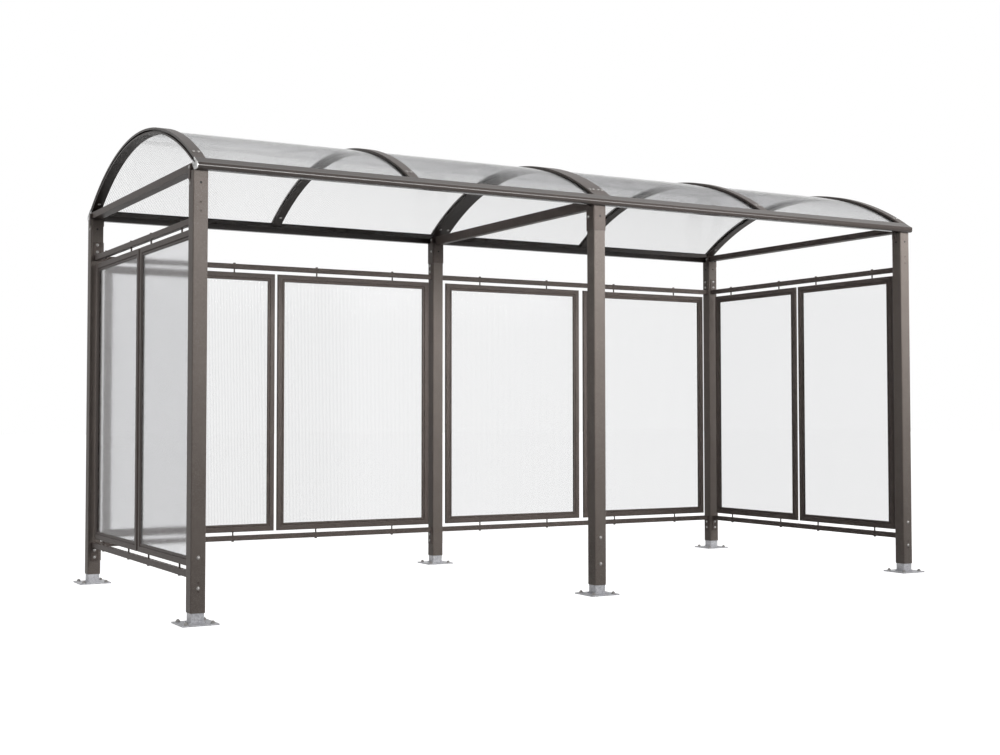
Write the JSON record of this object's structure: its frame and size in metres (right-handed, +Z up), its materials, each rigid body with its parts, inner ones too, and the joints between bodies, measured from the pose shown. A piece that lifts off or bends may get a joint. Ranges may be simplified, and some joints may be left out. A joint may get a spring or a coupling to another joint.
{
  "type": "bike shelter",
  "caption": "Free-standing bike shelter with an open front, square posts on bolted feet, framed translucent wall panels and a low arched roof of twin-wall sheets.",
  "frame": {"origin": "on the ground at the middle of the shelter's plan", "axes": "+X along the shelter's length, -Y out of the open front, +Z up"},
  "size_m": [5.195, 2.252, 2.7008],
  "materials": {
    "post_coat": "fine-textured dark brown-grey powder coat on steel tube",
    "frame_coat": "satin dark brown-grey powder coat on steel and aluminium sections",
    "galvanised": "hot-dip galvanised steel, dull with a faint spangle",
    "cap_metal": "bare mill-finish aluminium",
    "twin_wall": "clear twin-wall polycarbonate with close flutes, translucent"
  },
  "bodies": {
    "root": {"post_front_left": "post_coat", "foot_front_left": "galvanised", "post_rear_left": "post_coat", "foot_rear_left": "galvanised", "post_front_middle": "post_coat", "foot_front_middle": "galvanised", "post_rear_middle": "post_coat", "foot_rear_middle": "galvanised", "post_front_right": "post_coat", "foot_front_right": "galvanised", "post_rear_right": "post_coat", "foot_rear_right": "galvanised", "cross_tie_left": "frame_coat", "cross_tie_middle": "frame_coat", "cross_tie_right": "frame_coat", "roof_bar_1": "frame_coat", "clamp_strip_1": "frame_coat", "roof_bar_2": "frame_coat", "clamp_strip_2": "frame_coat", "roof_bar_3": "frame_coat", "clamp_strip_3": "frame_coat", "roof_bar_4": "frame_coat", "clamp_strip_4": "frame_coat", "roof_bar_5": "frame_coat", "clamp_strip_5": "frame_coat", "roof_sheet_1": "twin_wall", "roof_sheet_2": "twin_wall", "roof_sheet_3": "twin_wall", "roof_sheet_4": "twin_wall", "eave_profile_front": "frame_coat", "eave_profile_rear": "frame_coat", "eave_end_caps": "cap_metal", "rear_panel_frame_1": "frame_coat", "rear_panel_frame_2": "frame_coat", "rear_panel_frame_3": "frame_coat", "rear_panel_frame_4": "frame_coat", "left_panel_frame_front": "frame_coat", "left_panel_frame_rear": "frame_coat", "right_panel_frame_front": "frame_coat", "right_panel_frame_rear": "frame_coat", "rear_panel_sheets": "twin_wall", "left_panel_sheets": "twin_wall", "right_panel_sheets": "twin_wall", "rear_top_rails": "frame_coat", "rear_bottom_rails": "frame_coat", "left_side_rails": "frame_coat", "right_side_rails": "frame_coat"}
  },
  "joints": []
}
